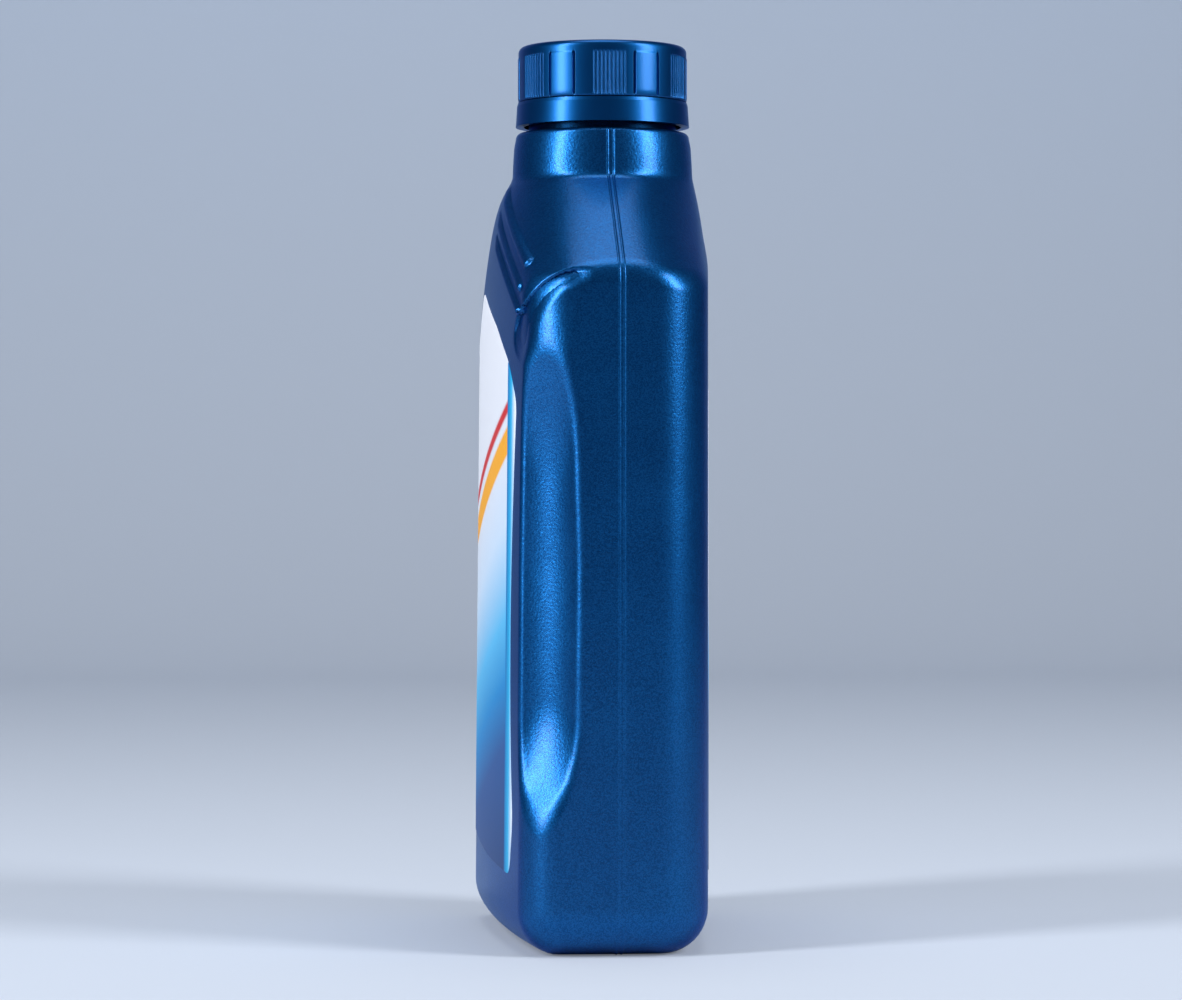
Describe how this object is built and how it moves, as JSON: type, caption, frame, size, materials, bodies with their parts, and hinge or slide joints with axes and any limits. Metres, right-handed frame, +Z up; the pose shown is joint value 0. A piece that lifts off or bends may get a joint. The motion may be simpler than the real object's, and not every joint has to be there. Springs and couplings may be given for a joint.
{
  "type": "motor oil bottle",
  "caption": "Blown plastic oil bottle with a side grip scoop, a ribbed screw cap that unscrews, a tamper band, a liner and two plain labels.",
  "frame": {"origin": "on the surface the bottle stands on, under the neck axis, at the middle of the base", "axes": "+Z up along the neck, +X towards the slim grip end, -Y towards the front label"},
  "size_m": [0.114, 0.0637, 0.2384],
  "materials": {
    "bottle": "satin pearl blue",
    "cap": "satin pearl blue",
    "band": "satin pearl blue",
    "liner": "matt white foam",
    "front_label": "printed film",
    "back_label": "printed film"
  },
  "bodies": {
    "bottle": {"bottle_body": "bottle", "tamper_band": "band", "front_label": "front_label", "back_label": "back_label"},
    "liner": {"cap_liner": "liner"},
    "cap": {"screw_cap": "cap"}
  },
  "joints": [
    {"name": "cap_lift", "type": "slide", "parent": "bottle", "child": "liner", "axis": [0, 0, 1], "range_m": [0, 0.0161]},
    {"name": "cap_turn", "type": "hinge", "parent": "liner", "child": "cap", "pos_m": [0, 0, 0.23], "axis": [0, 0, 1], "range_deg": [0, 1440]}
  ],
  "couplings": [
    {"joint": "cap_lift", "follows": "cap_turn", "m_per_rad": 0.00063662}
  ]
}
